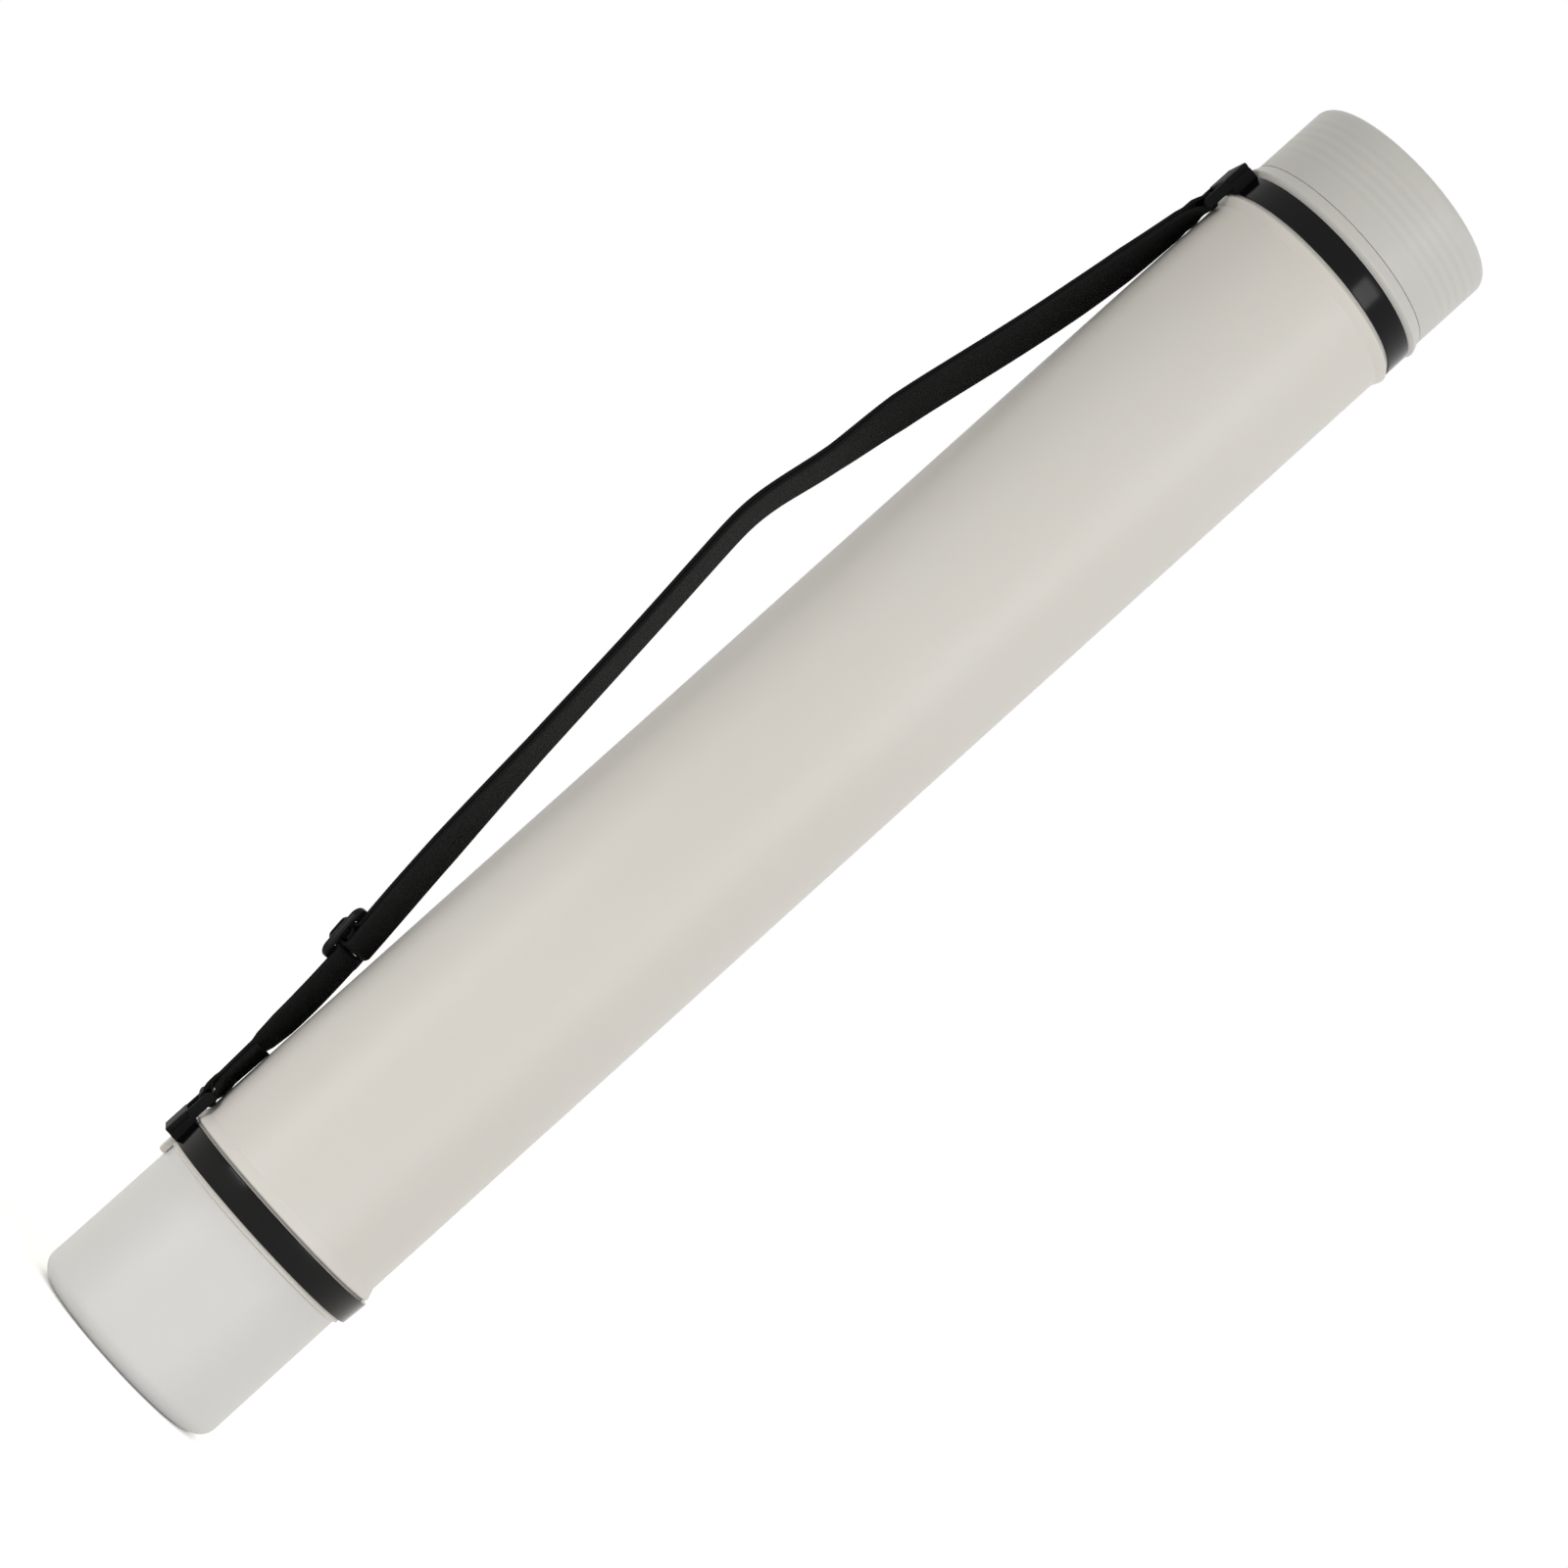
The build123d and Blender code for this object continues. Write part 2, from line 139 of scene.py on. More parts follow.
def lamp(name, place, target, size, power, spread=180):
    """Rectangular soft white lamp that faces target, its light kept within spread degrees."""
    data = bpy.data.lights.new(name, "AREA")
    data.shape = "RECTANGLE"
    data.size, data.size_y = size
    data.energy = power
    data.spread = radians(spread)
    item = bpy.data.objects.new(name, data)
    item.location = place
    way = Vector(target) - Vector(place)
    item.rotation_euler = way.to_track_quat("-Z", "Y").to_euler()
    bpy.context.scene.collection.objects.link(item)


lamp("main_lamp", place=(1.25, -1.6, 0.7), target=(0, 0, 0.26), size=(0.8, 1.1), power=12.6)
lamp(
    "low_left_lamp", place=(-0.95, -0.72, 0.15), target=(0, 0, 0.05), size=(0.5, 0.25),
    power=0.66, spread=75,
)

# Outer tube: blow-moulded translucent off-white plastic, one piece with its beads, the key
# and the lip at its mouth, the ledge and the threaded neck. The inner tube slides in its
# bore, and the lip keeps it from pulling out.
OUTER_RADIUS = 0.045
OUTER_WALL = 0.0012
MOUTH = 0.0665
LIP_RISE = 0.0005              # in from the bore
LIP_HEIGHT = 0.003
LIP_SLOPE = 0.0005             # from the lip's upper edge on to the bore
LEDGE = 0.6155
NECK_SLOPE = 0.008             # below the ledge, where the bore narrows to the neck's
NECK_RADIUS = 0.0425
NECK_WALL = 0.0015
NECK_TOP = 0.6475
BAND_EDGES = (0.0686, 0.079, 0.5984, 0.6088)   # lower band's edges, then the upper band's
BEAD_RISE = 0.0018
BEAD_WIDTH = 0.0056
BEAD_STEEP = 0.0017            # width of the side next to the band
BEAD_GAP = 0.0005              # from the band to the bead
LOWER_BEAD_STEEP = 0.0011
LOWER_BEAD_GAP = 0.0003
KEY_HALF_WIDTH = 0.0038
KEY_RISE = 0.0019              # out from the tube's outside
KEY_SUNK = 0.00045             # into its wall
KEY_DROP = 0.0048              # below the mouth
KEY_LAP = 0.0018               # above it
THREAD_PITCH = 0.00395
THREAD_START = 0.6215
THREAD_TURNS = 6.0
THREAD_RISE = 0.0009
THREAD_SUNK = 0.0004           # into the wall
THREAD_ROOT = 0.0017           # width at the wall
THREAD_CREST = 0.0006          # width at the crest
TURN_STEPS = 120               # in one turn of a thread
ROUND_STEPS = 192              # round the tubes
TUBE_FACE = 0.012              # longest face along the tubes
EASE = 0.0002                  # rounding of a moulded edge
SHARP_ANGLE = 35               # in degrees, from which an edge between faces stays sharp
MERGE = 1e-7                   # points nearer than this are one
TUBE_COLOUR = (0.72, 0.70, 0.665)
# the tube's colour made greyer for above the upper band: painted shade
NECK_SHADE_COLOUR = (0.63, 0.63, 0.61)
TUBE_GLOSS = 0.26
SATIN = 0.42                   # roughness


def rounded(points, radii, steps=6):
    """Closed outline with its corners rounded.

    At each corner B, with unit ways u and v to its neighbours, the arc's centre is
    B + r (u + v) / (|u + v| sin(half angle)), and the arc runs between the two feet."""
    points = np.array(points, float)
    out = []
    for index, radius in enumerate(radii):
        corner = points[index]
        if radius <= 0:
            out.append(corner[None])
            continue
        back = points[index - 1] - corner
        on = points[(index + 1) % len(points)] - corner
        back /= np.linalg.norm(back)
        on /= np.linalg.norm(on)
        half = np.arccos(np.clip(back @ on, -1, 1)) / 2
        middle = (back + on) / np.linalg.norm(back + on)
        centre = corner + middle * radius / np.sin(half)
        start = corner + back * radius / np.tan(half) - centre
        end = corner + on * radius / np.tan(half) - centre
        swing = pi - 2 * half
        share = np.linspace(0, 1, steps + 1)[:, None]
        arc = (np.sin((1 - share) * swing) * start + np.sin(share * swing) * end) / np.sin(swing)
        out.append(centre + arc)
    return np.concatenate(out)


def finer(outline, most):
    """The same closed outline with no edge longer than most."""
    onward = np.roll(outline, -1, axis=0)
    parts = np.ceil(np.linalg.norm(onward - outline, axis=1) / most)
    parts = np.maximum(1, parts).astype(int)
    which = np.repeat(np.arange(len(outline)), parts)
    share = np.concatenate([np.arange(n) / n for n in parts])[:, None]
    return outline[which] * (1 - share) + onward[which] * share


def grid_piece(name, grid, closed, uv=None, sharp_angle=SHARP_ANGLE):
    """Mesh object from a grid of points, each row a ring. Where it is closed, the last ring
    meets the first. Points that fall together are merged, and faces turn outwards."""
    rows, columns = grid.shape[:2]
    ring_index = np.arange(rows if closed else rows - 1)
    i, j = np.meshgrid(ring_index, np.arange(columns), indexing="ij")
    ni, nj = (i + 1) % rows, (j + 1) % columns
    faces = np.stack([i * columns + j, ni * columns + j, ni * columns + nj, i * columns + nj], -1)
    mesh = bpy.data.meshes.new(name)
    mesh.from_pydata(grid.reshape(-1, 3).tolist(), [], faces.reshape(-1, 4).tolist())
    if uv is not None:
        layer = mesh.uv_layers.new(name="UVMap")
        corner_i = np.stack([i, i + 1, i + 1, i], -1).ravel()
        corner_j = np.stack([j, j, j + 1, j + 1], -1).ravel()
        layer.data.foreach_set("uv", uv[corner_i, corner_j].astype(np.float32).ravel())
    work = bmesh.new()
    work.from_mesh(mesh)
    bmesh.ops.remove_doubles(work, verts=work.verts, dist=MERGE)
    bmesh.ops.dissolve_degenerate(work, dist=MERGE / 10, edges=work.edges)
    bmesh.ops.recalc_face_normals(work, faces=work.faces)
    work.to_mesh(mesh)
    work.free()
    mesh.polygons.foreach_set("use_smooth", np.ones(len(mesh.polygons), bool))
    mesh.set_sharp_from_angle(angle=radians(sharp_angle))
    item = bpy.data.objects.new(name, mesh)
    bpy.context.scene.collection.objects.link(item)
    return item


def joined(name, items):
    """One object from several, each a closed shell that keeps its own material."""
    whole = bmesh.new()
    mesh = bpy.data.meshes.new(name)
    for item in items:
        start = len(whole.faces)
        whole.from_mesh(item.data)
        whole.faces.ensure_lookup_table()
        for material in item.data.materials:
            if material.name not in mesh.materials:
                mesh.materials.append(material)
            for face in whole.faces[start:]:
                face.material_index = mesh.materials.find(material.name)
    whole.to_mesh(mesh)
    whole.free()
    mesh.set_sharp_from_angle(angle=radians(SHARP_ANGLE))
    for item in items:
        bpy.data.objects.remove(item)
    out = bpy.data.objects.new(name, mesh)
    bpy.context.scene.collection.objects.link(out)
    return out


def round_axis(outline, angle):
    """Grid of an outline's points (r, h), each at every angle a: x = r cos a, y = r sin a,
    z = h."""
    radius, height = outline[:, 0:1], outline[:, 1:2]
    return np.stack([radius * np.cos(angle), radius * np.sin(angle), height + 0 * angle], -1)


def turned(name, outline):
    """Surface of revolution of a closed outline."""
    angle = np.linspace(0, 2 * pi, ROUND_STEPS, endpoint=False)
    return grid_piece(name, round_axis(outline, angle), True)


def with_ends(grid):
    """The grid with a row at each end that holds only that end's middle point."""
    middle = grid.mean(axis=1, keepdims=True) + 0 * grid
    return np.concatenate([middle[:1], grid, middle[-1:]])


def thread_ridge(name, root, crest, start):
    """A trapezoid carried round a helix, z = start + pitch a / 2 pi, whose height fades
    almost to nothing over the first and last third of a turn."""
    whole_angle = 2 * pi * THREAD_TURNS
    angle = np.linspace(0, whole_angle, int(THREAD_TURNS * TURN_STEPS))[:, None]
    fade = np.clip(np.minimum(angle, whole_angle - angle) / (2 * pi / 3), 0.02, 1)
    inside = root - np.sign(crest - root) * THREAD_SUNK
    radius = np.array([inside, root, crest, crest, root, inside])
    radius = np.where(np.arange(6) % 5 == 0, inside, root + (radius - root) * fade)
    rise = np.array([-0.5, -0.5, 0, 0, 0.5, 0.5]) * THREAD_ROOT
    rise = rise + np.array([0, 0, -0.5, 0.5, 0, 0]) * THREAD_CREST
    height = start + THREAD_PITCH * angle / (2 * pi) + rise
    grid = np.stack([radius * np.cos(angle), radius * np.sin(angle), height], -1)
    return grid_piece(name, with_ends(grid), False)


def bead(edge, direction, steep=BEAD_STEEP):
    """Corner points of a bead, from the band's side on: steep side, crest, long slope."""
    return [
        (OUTER_RADIUS, edge),
        (OUTER_RADIUS + BEAD_RISE, edge + direction * steep),
        (OUTER_RADIUS, edge + direction * BEAD_WIDTH),
    ]


bore = OUTER_RADIUS - OUTER_WALL
lip = bore - LIP_RISE
neck_bore = NECK_RADIUS - NECK_WALL
outer_corners = [
    (lip, MOUTH), (OUTER_RADIUS, MOUTH),
    *bead(BAND_EDGES[1] + LOWER_BEAD_GAP, 1, LOWER_BEAD_STEEP),
    *bead(BAND_EDGES[2] - BEAD_GAP, -1)[::-1],
    *bead(BAND_EDGES[3] + BEAD_GAP, 1),
    (OUTER_RADIUS, LEDGE), (NECK_RADIUS, LEDGE), (NECK_RADIUS, NECK_TOP),
    (neck_bore, NECK_TOP), (neck_bore, LEDGE), (bore, LEDGE - NECK_SLOPE),
    (bore, MOUTH + LIP_HEIGHT + LIP_SLOPE), (lip, MOUTH + LIP_HEIGHT),
]
outer_rounds = [
    0, EASE,
    EASE, 0.0008, 0.0006,
    0.0006, 0.0008, EASE,
    EASE, 0.0008, EASE,
    EASE, EASE, 0.0005,
    0.0004, 0.001, 0.001,
    0, 0,
]
barrel = turned("outer_barrel", finer(rounded(outer_corners, outer_rounds), TUBE_FACE))
neck_thread = thread_ridge("neck_thread", NECK_RADIUS, NECK_RADIUS + THREAD_RISE, THREAD_START)

key_in, key_out = OUTER_RADIUS - KEY_SUNK, OUTER_RADIUS + KEY_RISE
key_low, key_high = MOUTH - KEY_DROP, MOUTH + KEY_LAP
key_section = rounded(
    [(key_in, key_low), (key_out, key_low), (key_out, key_high), (key_in, key_high)],
    [0.0004, 0.0008, 0.0003, 0.0003],
)
key_angle = np.linspace(-1, 1, 9) * asin(KEY_HALF_WIDTH / OUTER_RADIUS) + pi
key_grid = round_axis(key_section, key_angle).swapaxes(0, 1)
mouth_key = grid_piece("mouth_key", with_ends(key_grid), False)


def new_finish(name, gloss_level, roughness):
    """New material, its node tree and its shader."""
    material = bpy.data.materials.new(name)
    material.use_nodes = True
    skin = material.node_tree.nodes["Principled BSDF"]
    skin.inputs["Specular IOR Level"].default_value = gloss_level
    skin.inputs["Roughness"].default_value = roughness
    return material, material.node_tree, skin


def noise(tree, scale, detail=2.0, stretch=None):
    """Noise on the piece's own coordinates, times stretch along x, y and z."""
    place = tree.nodes.new("ShaderNodeTexCoord").outputs["Object"]
    if stretch:
        mapping = tree.nodes.new("ShaderNodeMapping")
        mapping.inputs["Scale"].default_value = stretch
        tree.links.new(place, mapping.inputs["Vector"])
        place = mapping.outputs[0]
    node = tree.nodes.new("ShaderNodeTexNoise")
    node.inputs["Scale"].default_value = scale
    node.inputs["Detail"].default_value = detail
    tree.links.new(place, node.inputs["Vector"])
    return node.outputs["Fac"]


def two_tones(tree, value, dark, pale, low=0.0, high=1.0):
    """Colour that goes from dark to pale while value goes from low to high."""
    node = tree.nodes.new("ShaderNodeValToRGB")
    first, last = node.color_ramp.elements
    first.position, last.position = low, high
    first.color, last.color = (*dark, 1), (*pale, 1)
    tree.links.new(value, node.inputs[0])
    return node.outputs[0]


def bump(tree, skin, height, strength, distance):
    """Gives the shader a bump after height."""
    node = tree.nodes.new("ShaderNodeBump")
    node.inputs["Strength"].default_value = strength
    node.inputs["Distance"].default_value = distance
    tree.links.new(height, node.inputs["Height"])
    tree.links.new(node.outputs[0], skin.inputs["Normal"])


def thread_rings(tree, pitch, low, high):
    """A thread's height seen through the wall, for a bump and for painted light and shade:
    sin(2 pi (z / pitch - turn)), which fades out over one pitch at low and at high."""
    maths = partial(math_node, tree)
    place = tree.nodes.new("ShaderNodeSeparateXYZ")
    tree.links.new(tree.nodes.new("ShaderNodeTexCoord").outputs["Object"], place.inputs[0])
    x, y, z = place.outputs
    turn_share = maths("DIVIDE", maths("ARCTAN2", y, x), 2 * pi)
    turns = maths("SUBTRACT", maths("DIVIDE", z, pitch), turn_share)
    wave = maths("SINE", maths("MULTIPLY", turns, 2 * pi))
    fade_low = maths("DIVIDE", maths("SUBTRACT", z, low), pitch, True)
    fade_high = maths("DIVIDE", maths("SUBTRACT", high, z), pitch, True)
    return maths("MULTIPLY", wave, maths("MULTIPLY", fade_low, fade_high))


def tube_plastic(name, colour, roughness, rings=None):
    """Satin translucent plastic: soft clouding in the colour, a fine moulded grain in the
    bump and long faint draw lines down the tube. rings is (pitch, low, high, depth) where
    a thread shows through the wall, painted as light and shade: the colour times 1 + depth times
    its height."""
    material, tree, skin = new_finish(name, TUBE_GLOSS, roughness)
    maths = partial(math_node, tree)
    skin.inputs["Subsurface Weight"].default_value = 0.25
    skin.inputs["Subsurface Radius"].default_value = (1.0, 0.85, 0.65)
    skin.inputs["Subsurface Scale"].default_value = 0.003
    dark = [c * d for c, d in zip(colour, (0.965, 0.95, 0.93))]
    shade = two_tones(tree, noise(tree, 9.0, 3.0, (1, 1, 0.5)), dark, colour, 0.3, 0.7)
    grain = maths("MULTIPLY", noise(tree, 900.0), 0.6)
    draw_lines = maths("MULTIPLY", noise(tree, 160.0, stretch=(1, 1, 0.04)), 0.7)
    height = maths("ADD", grain, draw_lines)
    if rings:
        *reach, depth = rings
        wave = thread_rings(tree, *reach)
        # painted light and shade: the thread seen through the wall makes the colour lighter and
        # darker in rings
        level = maths("ADD", maths("MULTIPLY", wave, depth), 1.0)
        ring_shade = tree.nodes.new("ShaderNodeCombineColor")
        for socket in ring_shade.inputs:
            tree.links.new(level, socket)
        mixer = tree.nodes.new("ShaderNodeMix")
        mixer.data_type = "RGBA"
        mixer.blend_type = "MULTIPLY"
        mixer.inputs["Factor"].default_value = 1.0
        tree.links.new(shade, mixer.inputs["A"])
        tree.links.new(ring_shade.outputs[0], mixer.inputs["B"])
        shade = mixer.outputs["Result"]
        height = maths("ADD", height, wave)
    tree.links.new(shade, skin.inputs["Base Color"])
    bump(tree, skin, height, 0.25, 0.0001)
    return material


outer_tube = joined("outer_tube_shell", [barrel, neck_thread, mouth_key])
outer_tube.data.materials.append(tube_plastic("tube_finish", TUBE_COLOUR, SATIN))
# Above the upper band the wall is double and lets less light through, so it looks greyer: there
# the tube's colour is painted greyer, as shade.
outer_tube.data.materials.append(tube_plastic("neck_painted_shade", NECK_SHADE_COLOUR, SATIN))
for face in outer_tube.data.polygons:
    face.material_index = int(face.center.z > (BAND_EDGES[2] + BAND_EDGES[3]) / 2)
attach(outer_tube, "sleeve")
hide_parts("outer_tube")

# Inner tube: the same plastic, closed at its foot. The foot stands out nearly as far as the
# outer tube and stops it when it is pushed in. Of the two rings, the lower one stops it when
# it is pulled out, and both guide it.
FOOT_RADIUS = 0.04415
FOOT_HEIGHT = 0.0664
FOOT_FLAT = 0.034              # radius of the flat underside
FOOT_EDGE = 0.008              # height of the rounding outside it
FOOT_FLOOR = 0.0022            # thickness
INNER_RADIUS = 0.043
INNER_WALL = 0.0011
INNER_TOP = 0.6005
STOP_RING = 0.5198
RING_RISE = 0.0006
RING_HEIGHT = 0.003
FOOT_COLOUR = (0.715, 0.716, 0.711)


def slide_ring(height):
    """Corner points of a ring round the inner tube: square below, sloping above."""
    return [
        (INNER_RADIUS, height), (INNER_RADIUS + RING_RISE, height),
        (INNER_RADIUS + RING_RISE, height + RING_HEIGHT / 2),
        (INNER_RADIUS, height + RING_HEIGHT),
    ]


# The foot's edge is a quarter of an ellipse, from the flat to the straight side.
quarter = np.linspace(0, pi / 2, 14)
foot_edge = np.stack(
    [FOOT_FLAT + (FOOT_RADIUS - FOOT_FLAT) * np.sin(quarter),
     FOOT_EDGE * (1 - np.cos(quarter))], -1
)
inner_bore = INNER_RADIUS - INNER_WALL
inner_wall = rounded(
    [(FOOT_RADIUS, FOOT_HEIGHT), (INNER_RADIUS, FOOT_HEIGHT),
     *slide_ring(STOP_RING), *slide_ring(INNER_TOP - RING_HEIGHT),
     (inner_bore, INNER_TOP), (inner_bore, FOOT_FLOOR), (0.0, FOOT_FLOOR)],
    [EASE, 0,
     0.0001, EASE, EASE, EASE, 0.0001, EASE, EASE, EASE,
     0.0003, 0.006, 0],
)
inner_outline = np.concatenate([[(0.0, 0.0)], foot_edge, inner_wall])
inner_tube = turned("inner_tube_shell", finer(inner_outline, TUBE_FACE))
inner_tube.data.materials.append(tube_plastic("foot_finish", FOOT_COLOUR, SATIN))
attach(inner_tube, "base")
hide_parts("inner_tube")

# Screw cap: the same plastic, a little greyer, moulded as a cup with a rounded top edge.
# Its thread turns on the neck, and where it shows through the wall, faint rings of light and
# shade are painted into the colour.
CAP_FOOT = 0.6157
CAP_TOP = 0.6506
CAP_WALL = 0.0013
CAP_LID = 0.0016
CAP_EDGE = 0.0042
CAP_FACE = 0.004               # longest face up the cap, and up a band
CAP_COLOUR = (0.62, 0.62, 0.60)
CAP_SATIN = 0.40
CAP_RINGS = (THREAD_PITCH, 0.622, 0.6455, 0.024)   # pitch, lowest, highest, depth of the painted light and shade

cap_bore = OUTER_RADIUS - CAP_WALL
cap_outline = rounded(
    [(0.0, CAP_TOP), (OUTER_RADIUS, CAP_TOP), (OUTER_RADIUS, CAP_FOOT),
     (cap_bore, CAP_FOOT), (cap_bore, CAP_TOP - CAP_LID), (0.0, CAP_TOP - CAP_LID)],
    [0, CAP_EDGE, EASE, EASE, CAP_EDGE - CAP_WALL, 0], steps=10,
)
cap_cup = turned("cap_cup", finer(cap_outline, CAP_FACE))
cap_thread = thread_ridge(
    "cap_thread", cap_bore, cap_bore - THREAD_RISE, THREAD_START - THREAD_PITCH / 2
)
screw_cap = joined("screw_cap_shell", [cap_cup, cap_thread])
screw_cap.data.materials.append(tube_plastic("cap_plastic_thread_shade", CAP_COLOUR, CAP_SATIN, CAP_RINGS))
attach(screw_cap, "cap")
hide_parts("screw_cap")

# Strap bands: black moulded plastic rings, each one piece with the lug and the eye that
# the webbing is looped through. The lower one sits between the key and a bead, and the
# upper one in a groove between two beads.
BAND_BORE = 0.04515
LOWER_RING = (0.04695, 0.04755)        # ring's outside at its lower and upper edge
UPPER_RING = (0.04585, 0.04585)
BAND_EASE = 0.0004
LUG_FACE = 0.0512              # out from the tube's axis, and so are the next two
LUG_SEAT = 0.04545
GROOVE_AT = 0.049
LUG_HALF = 0.0125              # half its width
SEAT_INSET = 0.0001            # from its cheeks to the ends of its seat's arc
LUG_CORNER = 0.0008
GROOVE_HALF = 0.0005
GROOVE_DEPTH = 0.0006
RAIL_WIDTH = 0.00185
RAIL_DEPTH = 0.0043
RAIL_SUNK = 0.001              # into the lug
BAR_X = 0.0488                 # eyes' bars, out from the tube's axis
BAR_RADIUS = 0.00175
BAR_EASE = 0.0001
BAR_LOW = 0.0880
BAR_HIGH = 0.5888


def black_plastic(name, colour, gloss_level, roughness, grain):
    """Black moulded plastic with a fine grain and faint rubbed patches in its gloss."""
    material, tree, skin = new_finish(name, gloss_level, roughness)
    rub = noise(tree, 60.0, 4.0)
    gloss = tree.nodes.new("ShaderNodeMapRange")
    gloss.inputs["To Min"].default_value = roughness * 0.8
    gloss.inputs["To Max"].default_value = roughness * 1.25
    tree.links.new(rub, gloss.inputs["Value"])
    tree.links.new(gloss.outputs[0], skin.inputs["Roughness"])
    dark, pale = ([c * level for c in colour] for level in (0.8, 1.3))
    tree.links.new(two_tones(tree, rub, dark, pale), skin.inputs["Base Color"])
    bump(tree, skin, noise(tree, 1500.0), grain, 0.00005)
    return material


def unit(ways):
    """The rows of ways, each made one long."""
    return ways / np.linalg.norm(ways, axis=1)[:, None]


def slab(name, outline, low, high, edge, place):
    """Prism with eased ends: the outline (n x 2), drawn in by edge at both ends, between
    the levels low and high. place turns (first, second, level) into x, y and z."""
    after, before = np.roll(outline, -1, axis=0), np.roll(outline, 1, axis=0)
    ahead, behind = unit(after - outline), unit(outline - before)
    normal = unit(np.stack([ahead[:, 1] + behind[:, 1], -ahead[:, 0] - behind[:, 0]], -1))
    area = np.sum(outline[:, 0] * after[:, 1] - after[:, 0] * outline[:, 1])
    inward = -normal * np.sign(area)
    swing = np.linspace(0, pi / 2, 5)
    draw = edge * (1 - np.sin(swing))
    rise = edge * (1 - np.cos(swing))
    rings = [outline + inward * d for d in (*draw, *draw[::-1])]
    middle = outline.mean(axis=0) + 0 * outline
    rings = [middle, *rings, middle]
    levels = [low, *(low + rise), *(high - rise[::-1]), high]
    grid = np.stack([place(ring[:, 0], ring[:, 1], level) for ring, level in zip(rings, levels)])
    return grid_piece(name, grid, False)


def upward(first, second, level):
    """Place in a slab whose levels are heights."""
    return np.stack([first, second, 0 * first + level], -1)


def sideways(first, second, level):
    """Place in a slab whose levels run along y."""
    return np.stack([first, 0 * first + level, second], -1)


def lug_outline():
    """Lug seen from above: an arc in the ring, and two cheeks with a groove in each and
    eased corners at the face."""
    swing = np.linspace(-1, 1, 13) * asin((LUG_HALF - SEAT_INSET) / LUG_SEAT)
    under = np.stack([-LUG_SEAT * np.cos(swing), LUG_SEAT * np.sin(swing)], -1)
    groove_in, groove_out = -GROOVE_AT + GROOVE_HALF, -GROOVE_AT - GROOVE_HALF
    bottom = LUG_HALF - GROOVE_DEPTH
    groove = [
        (groove_in, LUG_HALF), (groove_in, bottom), (groove_out, bottom), (groove_out, LUG_HALF)
    ]
    quarter = np.linspace(0, pi / 2, 6)
    corner = np.stack(
        [-LUG_FACE + LUG_CORNER * (1 - np.sin(quarter)),
         LUG_HALF - LUG_CORNER * (1 - np.cos(quarter))], -1
    )
    cheek = np.concatenate([groove, corner])
    other_cheek = (cheek * [1, -1])[::-1]
    return np.concatenate([under, cheek, other_cheek])


def eye(name, low, high, bar_z):
    """Two rails with half round ends, standing on the lug, and the round bar they hold."""
    way = 1 if bar_z > high else -1
    foot_z = (high if bar_z > high else low) - way * RAIL_SUNK
    half_turn = np.linspace(0, pi, 13)
    rail_end = np.stack(
        [-BAR_X + RAIL_DEPTH / 2 * np.cos(half_turn),
         bar_z + way * RAIL_DEPTH / 2 * np.sin(half_turn)], -1
    )
    rail_foot = [(-BAR_X - RAIL_DEPTH / 2, foot_z), (-BAR_X + RAIL_DEPTH / 2, foot_z)]
    rail = np.concatenate([rail_end, rail_foot])
    whole_turn = np.linspace(0, 2 * pi, 25)[:-1]
    bar = np.stack(
        [-BAR_X + BAR_RADIUS * np.cos(whole_turn), bar_z + BAR_RADIUS * np.sin(whole_turn)], -1
    )
    half = RAIL_WIDTH / 2
    reach = LUG_HALF - half
    rails = [
        slab(name + "_rail", rail, side - half, side + half, BAND_EASE, sideways)
        for side in (-reach, reach)
    ]
    return [*rails, slab(name + "_bar", bar, -reach, reach, BAR_EASE, sideways)]


def strap_band(name, low, high, radii, bar_z):
    """Ring with eased edges in the glossier finish, and lug and eye in the duller one."""
    ring = turned(name + "_ring", finer(rounded(
        [(BAND_BORE, low), (radii[0], low), (radii[1], high), (BAND_BORE, high)],
        [EASE, BAND_EASE, BAND_EASE, EASE]), CAP_FACE))
    ring.data.materials.append(band_finish)
    lug = slab(name + "_lug", lug_outline(), low, high, BAND_EASE, upward)
    holders = [lug, *eye(name, low, high, bar_z)]
    for item in holders:
        item.data.materials.append(lug_finish)
    return joined(name, [ring, *holders])


band_finish = black_plastic(
    "band_finish", (0.0012, 0.0012, 0.0014), gloss_level=0.16, roughness=0.14, grain=0.15
)
lug_finish = black_plastic(
    "lug_finish", (0.0028, 0.0028, 0.0031), gloss_level=0.1, roughness=0.6, grain=0.3
)
for name, node, edges, radii, bar_z in (
    ("lower_band_shell", "lower_strap_band", BAND_EDGES[:2], LOWER_RING, BAR_LOW),
    ("upper_band_shell", "upper_strap_band", BAND_EDGES[2:], UPPER_RING, BAR_HIGH),
):
    band = strap_band(name, *edges, radii, bar_z)
    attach(band, "sleeve")
    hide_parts(node)

# Carry strap: one length of black woven webbing. It is sewn into a loop at the lower eye,
# runs through the slider and the upper eye, and comes back to the slider, so it is double
# above the slider.
WEB_WIDTH = 0.020
WEB_THICKNESS = 0.00145
WEB_GAP = 0.0002               # from webbing to a bar
LAYER_GAP = 0.00025            # between the two layers
TOOTH = 0.0006                 # from one weft turn at the webbing's edge to the next
TOOTH_DEPTH = 0.00012
SELVEDGE = 0.8                 # depth of its rounding, as a share of half the thickness
BEND_RADIUS = 0.0021
SEWN_TAIL = 0.026              # from the lower bar to the cut end of the sewn loop
TAPER = 0.009                  # from an eye's bar to where the layers lie together
WARP_PITCH = 0.00125
WEFT_PITCH = 0.0012
UNDERSIDE = 0.05               # shift of the weave on the webbing's other face
SLIDER_AT = 0.0779             # along the strap from the lower bar
